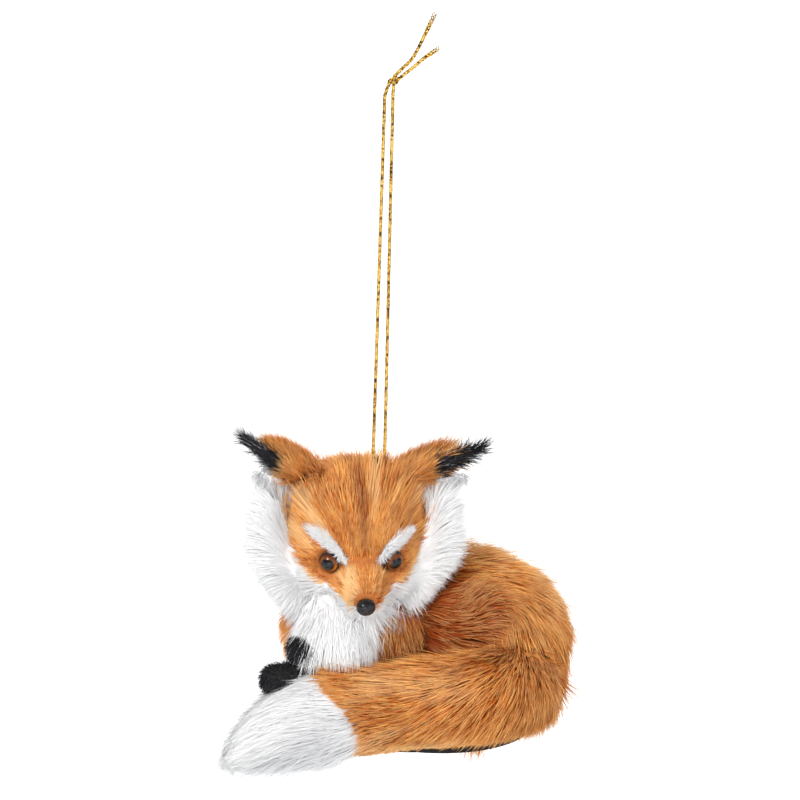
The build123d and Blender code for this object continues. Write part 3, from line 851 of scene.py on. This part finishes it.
def past_seam(p):
    """How far places are past the change of colour, which slants back under the tail."""
    slant = np.interp(p[:, 2], [-168, -158, -153, -149], [-5.5, -4.0, -0.5, 4.0])
    return down_tail(p)[0] - brush_seam - slant


def is_brush(p):
    """Whether each hair is white, with a ragged edge at the seam."""
    return past_seam(p) + dice.normal(0, 0.9, len(p)) > 0


def tail_shift(p, out):
    """Pale on the top and the lower front, dusky in streaks, and darkened in the crease at the body
    as painted shade.
    """
    streak = ripple(p * [0.35, 0.35, 1.4], 6, 21)
    pale = 0.10 + 0.22 * step_up(-p[:, 2], 152, 162) + 0.42 * np.clip(streak, 0, 1)
    # The crease at the body is darkened as painted shade.
    dusk = 0.55 * np.clip(-streak, 0, 1) + 0.3 * bump_at(p, 34, -147, 4)
    return np.clip(pale - 1.1 * dusk, -0.9, 0.9)


def on_stretch(p, lowest, highest):
    """Whether places are on one stretch of the tail."""
    run, _ = down_tail(p)
    return (run > lowest) * (run <= highest)


def tail_length_of(p, out):
    """Shorter towards the brush and near the underside."""
    return np.minimum(np.clip(2.0 - past_seam(p), 3.4, 10.0), clear_below(p))


def brush_length_of(p, out):
    """Shorter towards the tip and on the top."""
    grown = np.clip(tail_tip + 4.0 - down_tail(p)[0], 6.0, 11.0)
    return grown * (1 - 0.45 * step_up(out[:, 2], 0.3, 0.9))


def two_leathers(name, piece, share):
    """An undercoat that is rust at a share of 0 and white at 1."""
    mark(piece.data, "white", share)
    finish, tree, surface = new_finish(name)
    grain = noise(tree, 900, 4)
    rusty = blend_in(tree, grain, (0.34, 0.085, 0.015, 1), (0.62, 0.22, 0.05, 1))
    chalky = blend_in(tree, grain, (0.86, 0.86, 0.87, 1), (0.93, 0.93, 0.94, 1))
    feed(tree, surface, {
        "Roughness": 0.9, "Base Color": blend_in(tree, attribute(tree, "white"), rusty, chalky),
    })
    piece.data.materials.append(finish)


spots = vertex_rows(tail_skin.data, "co")
two_leathers("tail_undercoat", tail_skin, step_up(past_seam(spots / mm), -1, 1))
for place, (lowest, highest) in enumerate(((-20, 22), (22, 200)), 1):
    piece = coat(
        f"tail_coat_{place}", tail_skin, 9900, tail_length_of, comb_tail, rust_fur,
        lift=(28, 6), width=0.27, stray=8, sag=0.03, **rust_pile,
        grows=lambda p, out: on_stretch(p, lowest, highest) * ~is_brush(p),
        cover=(body_hull, bib_hull), shift=tail_shift,
    )
brush_stretches = ((brush_seam - 9, brush_seam + 11), (brush_seam + 11, 200))
for place, (lowest, highest) in enumerate(brush_stretches, 1):
    piece = coat(
        f"brush_coat_{place}", tail_skin, 9500, brush_length_of, comb_tail, white_fur,
        lift=(22, 4), stray=6, sag=0.02, wave=6, **white_pile,
        grows=lambda p, out: on_stretch(p, lowest, highest) * is_brush(p),
        cover=(body_hull, bib_hull),
    )

# Ruff and bib. A collar of rust fur joins head and body, and long white fur hangs on the chest.
# Both are pelts sewn on, and short white fur fills in between them under the jaw.


def comb_down(p, out):
    """Straight down, a little outward."""
    return np.stack([0.25 * out[:, 0], -0.25 + 0.25 * out[:, 1], -np.ones(len(p))], 1)


def under_jaw(p, out):
    """Whether places are on the ruff's front under the jaw."""
    x, y, z = p.T
    return (y < -7) & (x < 7.5) & (z > -139 + 0.5 * x)


def bib_length_of(p, out):
    """Short at the foot and on the upper face, longer at the left edge."""
    grown = np.clip(p[:, 2] + 146.5, 1.6, 8.5) * (1 - 0.45 * step_up(out[:, 2], 0.1, 0.6))
    return grown + 3.0 * step_up(-p[:, 0], 12, 17) * step_up(p[:, 2], -144, -139)


ruff_coat = coat(
    "ruff_coat", ruff_skin, 4500, 7.5, comb_down, rust_fur, lift=(30, 12), width=0.28, stray=10,
    cover=(head_hull, bib_hull, body_hull), **rust_pile,
    # The ruff's front under the head is darkened as painted shade.
    shift=lambda p, out: 0.01 - 0.75 * bump_at(p, 8, -140, 9) * (p[:, 1] < 0),
)
jaw_coat = coat(
    "jaw_coat", ruff_skin, 2600, 6.0, lambda p, out: comb_down(p, out) - [0.5, 0, 0], white_fur,
    lift=(20, 8), stray=9, cover=(bib_hull,), cover_reach=1.5, spare=16, grows=under_jaw,
    **white_pile,
)
bib_coat = coat(
    "bib_coat", bib_skin, 6500, bib_length_of, comb_down, white_fur, lift=(22, 9), stray=9,
    cover=(head_hull, tail_hull), **white_pile,
    shift=lambda p, out: 0.75 * step_up(-p[:, 2], 141, 147) * step_up(p[:, 0], -8, 0),
)

# Head. A pelt over a moulded skull and a short muzzle. Rust fur makes the mask, the brow and the
# back of the head, and white fur the cheeks and the chin. It all runs back from the nose.
nose_tip = np.array([0.0, -2.3, 27.7])
mask_side = [
    -19.7, -18.7, -16.7, -13.5, -9.6, -5.2, -2.2, 0, 2.8, 5.5, 10.1, 13.6, 16.7, 17.5, 18.0,
]
mask_edge = [
    18.7, 10.1, 3.8, -0.3, -2.1, -2.9, -3.6, -3.8, -3.4, -3.1, -2.5, -0.9, 3.0, 9.3, 21.0,
]


def whiteness(p):
    """1 on the cheeks and the chin, 0 on the mask, the crown and the back of the head."""
    x, y, z = on_head(p).T
    edge = np.interp(x, mask_side, mask_edge, left=60, right=60)
    return step_up(edge - y, -0.5, 0.5) * step_up(z, -9, -5)


def near_wire(p):
    """1 where the wire eye stands, falling to 0 round it."""
    return np.exp(-(p[:, 0] ** 2 + (p[:, 1] + 5) ** 2) / 32)


spots = vertex_rows(head_skin.data, "co")
two_leathers("head_undercoat", head_skin, whiteness(spots / mm))


def comb_head(p, out):
    """Back from the nose in all directions, parting round the eyes and falling on the cheeks."""
    q = on_head(p)
    x, y, z = q.T
    flow = unit(q - nose_tip)
    far, away = eye_distance(q)
    flow += away * (2.2 * np.exp(-(far / 4.3) ** 2))[:, None]
    flow += np.outer(1.8 * step_up(-z, -3, 7), [0, -1, -0.25])
    ones = np.ones(len(q))
    hang = np.stack([0.35 * np.clip(x / 8, -1, 1), -ones, -0.1 * ones], 1)
    on_cheek = step_up(abs(x), 15, 24) * (0.25 + 0.5 * step_up(-y, -6, 6))
    share = (whiteness(p) * np.maximum(on_cheek, 0.7 * step_up(-y, 4, 8)))[:, None]
    return (flow * (1 - share) + hang * share) @ head_axes


def head_length_of(p, out):
    """Short on the muzzle and round the eyes, long on the crown and longest on the cheeks."""
    q = on_head(p)
    x, y, _ = q.T
    ahead = np.linalg.norm(q - nose_tip, axis=1)
    grown = np.interp(ahead, [0, 5, 12, 20, 30, 40], [2.0, 3.2, 4.6, 5.8, 7.0, 8.5])
    grown += 3.5 * step_up(abs(x), 7, 13) * step_up(y, 7, 12)
    grown += 3.0 * step_up(y, 9, 13) * near_wire(p)
    pale = np.interp(ahead, [0, 5, 10, 16, 26, 40], [2.2, 4.0, 5.5, 7.0, 8.0, 8.0])
    pale *= 1 - 0.45 * step_up(x, 10, 16) * step_up(-y, -2, 6)
    pale += 3.5 * step_up(-y, 3.5, 7) * (1 - step_up(x, 4, 8)) * step_up(x, -14, -9)
    pale *= 1 - 0.3 * step_up(-x, 13, 18) * step_up(-y, -2, 6)
    grown = np.where(whiteness(p) > 0.5, pale, grown)
    return np.minimum(grown, 1.3 + 0.75 * np.clip(eye_distance(q)[0] - 2.8, 0, 20))


def head_fluff(p, out):
    """Hair stands up beside the crown and at the wire eye, so that the top is broad and flat."""
    x, y, _ = on_head(p).T
    beside = step_up(abs(x), 6, 13) * step_up(y, 6, 12)
    at_wire = near_wire(p) * step_up(y, 9, 13)
    flat = 12 * step_up(y, 12, 16) * (1 - step_up(abs(x), 4, 9))
    return 26 * beside - flat + 38 * at_wire


def jaw_fluff(p, out):
    """The hair under the jaw stands out over the top of the bib."""
    x, y, _ = on_head(p).T
    return 30 * step_up(-y, 2.5, 6) * (1 - step_up(x, 5, 9)) * step_up(x, -14, -9)


def head_shift(p, out):
    """Gold beside the cheeks and down the muzzle's left, dusky up the brow's middle, in rays, with
    painted shade round each eye.
    """
    q = on_head(p)
    x, y, z = q.T
    middle = np.exp(-(x / 3.6) ** 2) * step_up(y, 2, 6)
    outer = step_up(abs(x), 8, 14) * (y < 13)
    streak = np.exp(-((x + 2.9) / 1.3) ** 2) * step_up(-y, -4, 0)
    beyond = np.exp(-((x - 3.0) / 2.0) ** 2) * step_up(-y, -3, 1)
    # Painted shade in a ring round each eye, where the socket is dished.
    painted_eye_shade = np.exp(-((eye_distance(q)[0] - 3.4) / 1.0) ** 2)
    angle = np.arctan2(y - nose_tip[1], x)
    rays = ripple(np.stack([13 * angle, 0.12 * y, 0.12 * z], 1), 2.2, 33)
    dusky = 0.10 + 0.32 * outer + 1.5 * streak - 0.55 * middle - 0.4 * beyond - 0.4 * painted_eye_shade
    return dusky + 0.6 * rays


def bare_eye(p):
    """0 in the eye sockets and at the nose, 1 elsewhere."""
    q = on_head(p)
    far, _ = eye_distance(q)
    return (far > 2.9) * (np.linalg.norm(q - nose_tip, axis=1) > 2.0) * 1.0


def soft_mask(p):
    """Whether each hair is white, with a ragged edge between the colours."""
    return whiteness(p + dice.normal(0, 0.5, p.shape)) > 0.5


def denser(p):
    """How dense the hair is: fullest on the muzzle and round the eyes, where it is short."""
    return 1 - 0.45 * step_up(np.linalg.norm(on_head(p) - nose_tip, axis=1), 13, 20)


under = (body_hull, ruff_hull, bib_hull)
for name, count, rings, width, pull, lift, place in (
    ("face_coat", 13000, 2, 0.18, 0.4, (17, 7), lambda q: (q[:, 2] > 11)),
    ("crown_coat", 10800, 3, 0.24, 0.55, (28, 12), lambda q: (q[:, 2] <= 11)),
):
    piece = coat(
        name, head_skin, count, head_length_of, comb_head, rust_fur, lift=lift, width=width,
        spare=16, stray=7, sag=0.0, pull=pull, rings=rings, wave=6, cover=under, fluff=head_fluff,
        grows=lambda p, out: bare_eye(p) * ~soft_mask(p) * place(on_head(p)) * denser(p),
        shift=head_shift,
    )
for name, count, place in (
    ("cheek_coat_left", 9500, lambda q: (q[:, 0] < -5)),
    ("cheek_coat_right", 9500, lambda q: (q[:, 0] > 5)),
    ("chin_coat", 5500, lambda q: (abs(q[:, 0]) <= 5)),
):
    piece = coat(
        name, head_skin, count, head_length_of, comb_head, white_fur, lift=(26, 9), width=0.21,
        stray=6, sag=0.05, cover=under, cover_reach=0.7, rings=2, round_share=0.08, spare=10,
        pull=0.22, wave=6, fluff=jaw_fluff,
        grows=lambda p, out: bare_eye(p) * soft_mask(p) * place(on_head(p)),
    )

# Brows. A slim crescent of short white fur is glued over each eye and combed outward. The outer
# end of the right one is a little lower.
for hand, side in ((-1, "left"), (1, "right")):
    brow_skin = leather(
        f"brow_skin_{side}", [f"brow_{side}"], 0.35 * mm, 3, 0.45, white_leather
    )
    if side == "right":
        spots = vertex_rows(brow_skin.data, "co")
        fall = 1.4 * step_up(on_head(spots / mm)[:, 0], 4, 13) * mm
        lowered = spots - np.outer(fall, head_axes[1])
        brow_skin.data.vertices.foreach_set("co", lowered.ravel())
        brow_skin.data.update()
    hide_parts(f"brow_{side}")

    def comb_brow(p, out):
        """From the nose end up and out along the crescent."""
        q = on_head(p)
        reach = step_up(abs(q[:, 0]), 5.0, 6.5)[:, None]
        inner = np.array([-0.10 * hand, -0.95, 0.2])
        outer = np.array([0.85 * hand, 0.05 if side == "left" else -0.35, -0.6])
        return (inner * (1 - reach) + outer * reach) @ head_axes

    piece = coat(
        f"brow_coat_{side}", brow_skin, 1900,
        lambda p, out: 2.6 - 0.6 * step_up(abs(on_head(p)[:, 0]), 9, 13),
        comb_brow, white_fur, lift=(48, 24), width=0.13, stray=26, sag=0.0, rings=2, pull=0.2,
        wave=3, round_share=0.2,
        shift=lambda p, out: 0.01 - 0.6 * (dice.random(len(p)) < 0.25),
    )

# Ears. Each has a back of rust fur, a lining of white fur and a lock of long black hair that
# runs past its tip and splays. The left one stands higher than the right one.
ear_reaches = {
    "left": ((-13.0, 9.5, -3.5), (-12.5, 5.0, -3.0), (-16.0, 8.8, -7.0)),
    "right": ((15.0, 7.5, -3.5), (15.0, 2.0, -3.0), (20.0, 4.2, -7.0)),
}
ear_roots = {
    "ear_lock": (12.5, 15.5, 0.0), "ear": (9.5, 10.5, -3.0), "ear_lining": (13.5, 10.0, 0.5),
}
for side, (back_reach, lining_reach, lock_reach) in ear_reaches.items():
    outward = np.array([-1 if side == "left" else 1, 1, 1])
    for label, node, reach, finish, lining, slot, count, long, stray, lift, width, depth in (
        (
            "lock_coat", "ear_lock", lock_reach, black_fur, black_leather, "fur_black",
            1300, 5.2, 19, (17, 14), 0.17, 0.6,
        ),
        (
            "ear_coat", "ear", back_reach, rust_fur, rust_leather, "fur_rust",
            2900, 7.0, 12, (42, 26), 0.22, 0.9,
        ),
        (
            "lining_coat", "ear_lining", lining_reach, white_fur, white_leather, "fur_white",
            2600, 4.0, 12, (26, 10), 0.2, 1.2,
        ),
    ):
        skin = leather(
            f"{node}_skin_{side}", [f"{node}_{side}"], 0.45 * mm, 4, depth, lining
        )
        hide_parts(f"{node}_{side}")
        if node == "ear_lock" and side == "right":
            long, stray = 6.2, 27
        way = unit(np.array([reach]))[0] @ head_axes
        start = (outward * ear_roots[node]) @ head_axes + head_middle
        if node == "ear_lock":
            lock_hull, lock_skin, lock_start, lock_way = hull(skin), skin, start, way

        def past_root(p):
            """Whether each hair is out past the lock's root, where its black begins."""
            return (p - lock_start) @ lock_way + dice.normal(0, 0.7, len(p)) > 4.0

        def below_lock(p):
            """Whether each hair of the left ear is under its lock, where white fur shows."""
            from_root = p - lock_start
            from_root -= (from_root @ lock_way)[:, None] * lock_way
            return (from_root @ head_axes[1] < -0.6) & (side == "left")

        def comb_ear(p, out):
            """Out along the ear, opening a little from its middle line. The lining's hair hangs."""
            on_line = start + ((p - start) @ way)[:, None] * way
            opened = way + 0.06 * (p - on_line) * (2.2 if node == "ear_lock" else 1.0)
            return opened * 0.35 - [0, 0, 1] if node == "ear_lining" else opened

        shifts = {
            "ear": lambda p, out: 0.25 + 0.3 * ripple(p, 4, 41),
            # The lining greys towards its top, under the lock, as painted shade.
            "ear_lining": lambda p, out: -0.75 * step_up(on_head(p)[:, 1], 11, 15),
            "ear_lock": lambda p, out: (dice.random(len(p)) < 0.03) * 0.9,
        }
        places = {
            "ear": lambda p, out: ~below_lock(p), "ear_lining": None,
            "ear_lock": lambda p, out: past_root(p),
        }
        piece = coat(
            f"{label}_{side}", skin, count, long, comb_ear, finish, lift=lift, width=width,
            stray=stray, sag=0.0, pull=0.35, rings=2 if node == "ear_lining" else 3,
            cover=(head_hull, lock_hull) if node == "ear" else (), grows=places[node],
            shift=shifts[node], round_share=0.2 if node == "ear_lining" else 0.5,
        )
        if node == "ear":
            root_tuft = coat(
                f"lock_root_{side}", lock_skin, 650, 6.5, comb_ear, rust_fur, lift=(34, 12),
                width=0.22, stray=14, sag=0.0, pull=0.3, shift=shifts["ear"], spare=8,
                grows=lambda p, out: ~past_root(p),
            )
        if node == "ear" and side == "left":
            fringe = coat(
                "ear_fringe_left", skin, 1400, 5.0,
                lambda p, out: 0.5 * way - [0, 0, 1] + 0 * p,
                white_fur, lift=(34, 14), width=0.2, stray=14, sag=0.0, rings=2, pull=0.25,
                round_share=0.15, cover=(head_hull, lock_hull), cover_reach=1.0, spare=8,
                grows=lambda p, out: below_lock(p),
                # The white fur under the lock is greyed as painted shade.
                shift=lambda p, out: -0.3 - 0.3 * dice.random(len(p)),
            )

# Front paws. Two stuffed paws of black felt lie one over the other, with a short fuzz. They are
# sewn on under the chest.
for name in ("front_paw_lower", "front_paw_upper"):
    paw = leather(f"{name}_felt", [name], 0.45 * mm, 3, 0.25, felt)
    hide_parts(name)
    fuzz = coat(
        f"{name}_fuzz", paw, 2500, 2.2, comb_down, black_fur, lift=(50, 28), width=0.15, stray=38,
        sag=0.0, rings=2, pull=0.3,
    )

# Eyes. Each is a glossy amber dome with a black pupil behind it, set in a thin dark lid. A post
# behind it is pushed into the head's form.
eye_gloss, tree, surface = new_finish("amber_eye")
pupil_black = (0.002, 0.003, 0.005)
off_axis = attribute(tree, "off_axis")
iris = ramp_of(tree, off_axis, (
    (0.60, pupil_black), (0.68, (0.07, 0.018, 0.003)), (0.80, (0.20, 0.050, 0.006)),
    (0.92, (0.07, 0.014, 0.002)), (1.0, (0.012, 0.003, 0.001)),
))
# Painted glow: the amber is bright at the lower right of each dome, as light through it would make
# it, and dark brown elsewhere.
painted_glow = ramp_of(tree, off_axis, (
    (0.58, pupil_black), (0.68, (0.30, 0.070, 0.006)), (0.83, (0.85, 0.33, 0.04)),
    (0.93, (0.42, 0.10, 0.01)), (1.0, (0.08, 0.016, 0.002)),
))
painted_glow_share = rise_between(tree, attribute(tree, "painted_glow_side"), -0.1, 0.95)
feed(tree, surface, {
    "Roughness": 0.12, "Specular IOR Level": 0.0, "Coat Weight": 1.0, "Coat Roughness": 0.05,
    "Base Color": blend_in(tree, painted_glow_share, iris, painted_glow),
})
lid_leather = plain_finish(
    "dark_lid", (0.012, 0.006, 0.004), (0.035, 0.016, 0.009), 2500, 0.5, 0, 0.3, 0.00005
)
eye_radius = 2.5
eye_bulge = 0.8
lid_radius = 0.16
eye_splay = math.radians(25)
# The way across each dome towards its painted glow.
painted_glow_way = np.array([0.45, -0.89])


def hard_piece(name, shape, set_in, finish):
    """A hard piece of the head, from a shape at the origin that a matrix sets in."""
    mesh = mesh_from(name, shape)
    mesh.transform(set_in)
    smooth(mesh)
    mesh.materials.append(finish)
    piece = put_in_scene(name, mesh)
    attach(piece, "fox")
    return piece


for hand, side in ((-1, "left"), (1, "right")):
    aim_out = np.array([math.sin(eye_splay) * hand, 0, math.cos(eye_splay)]) @ head_axes
    upward = head_axes[1] - aim_out * (head_axes[1] @ aim_out)
    upward /= np.linalg.norm(upward)
    sideways = np.cross(upward, aim_out)
    seat = np.array([eye_aside * hand, eye_height, 16.375]) @ head_axes + head_middle
    seat += eye_bulge * aim_out
    axes = Matrix((sideways, upward, aim_out)).transposed().to_4x4()
    set_in = Matrix.Translation(Vector(seat) * mm) @ axes
    shape = bmesh.new()
    bmesh.ops.create_uvsphere(shape, u_segments=48, v_segments=32, radius=eye_radius * mm)
    bmesh.ops.bisect_plane(
        shape, geom=shape.verts[:] + shape.edges[:] + shape.faces[:], dist=weld_gap,
        plane_co=(0, 0, -0.2 * mm), plane_no=(0, 0, -1), clear_outer=True,
    )
    bmesh.ops.holes_fill(shape, edges=[edge for edge in shape.edges if edge.is_boundary])
    bmesh.ops.scale(shape, verts=shape.verts, vec=(1, 1, 0.96))
    flat = np.array([vert.co[:2] for vert in shape.verts])
    dome = hard_piece(f"eye_dome_{side}", shape, set_in, eye_gloss)
    mark(dome.data, "off_axis", np.linalg.norm(flat, axis=1) / (eye_radius * mm))
    mark(dome.data, "painted_glow_side", unit(flat + 1e-9) @ painted_glow_way)
    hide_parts(f"eye_{side}")
    shape = bmesh.new()
    ring = bmesh.ops.create_circle(shape, segments=10, radius=lid_radius * mm)["verts"]
    bmesh.ops.rotate(shape, verts=ring, matrix=Matrix.Rotation(math.pi / 2, 3, "X"))
    bmesh.ops.translate(shape, verts=ring, vec=((eye_radius + 0.02) * mm, 0, 0.15 * mm))
    bmesh.ops.spin(
        shape, geom=shape.verts[:] + shape.edges[:], cent=(0, 0, 0), axis=(0, 0, 1),
        angle=2 * math.pi, steps=40, use_merge=True,
    )
    bmesh.ops.remove_doubles(shape, verts=shape.verts, dist=weld_gap)
    bmesh.ops.recalc_face_normals(shape, faces=shape.faces)
    hard_piece(f"eyelid_{side}", shape, set_in, lid_leather)
    refinish(f"eye_post_{side}", lid_leather)

# Nose. A glossy black bead with two shallow nostrils is pushed into the end of the muzzle. Its
# stem is held by the head's form.
nose_gloss = plain_finish(
    "nose_gloss", (0.004, 0.004, 0.005), (0.014, 0.014, 0.016), 1300, 0.13, 0, 0.5, 0.00025
)
nostril_dent = 0.26
shape = bmesh.new()
bmesh.ops.create_uvsphere(shape, u_segments=40, v_segments=28, radius=1)
for vert in shape.verts:
    x, y, z = vert.co
    for hand in (-1, 1):
        near = math.exp(-((x - 0.42 * hand) ** 2 + (y + 0.12) ** 2) / 0.045)
        if z > 0:
            vert.co -= vert.normal * nostril_dent * near
    if y > 0.5:
        vert.co.y = 0.5 + (y - 0.5) * 0.72
bmesh.ops.scale(shape, verts=shape.verts, vec=(2.45 * mm, 2.4 * mm, 2.0 * mm))
seat = np.array([0, -2.3, 29.4]) @ head_axes + head_middle
set_in = Matrix.Translation(Vector(seat) * mm) @ Matrix(head_axes).transposed().to_4x4()
nose_bead = hard_piece("nose_bead", shape, set_in, nose_gloss)
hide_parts("nose")
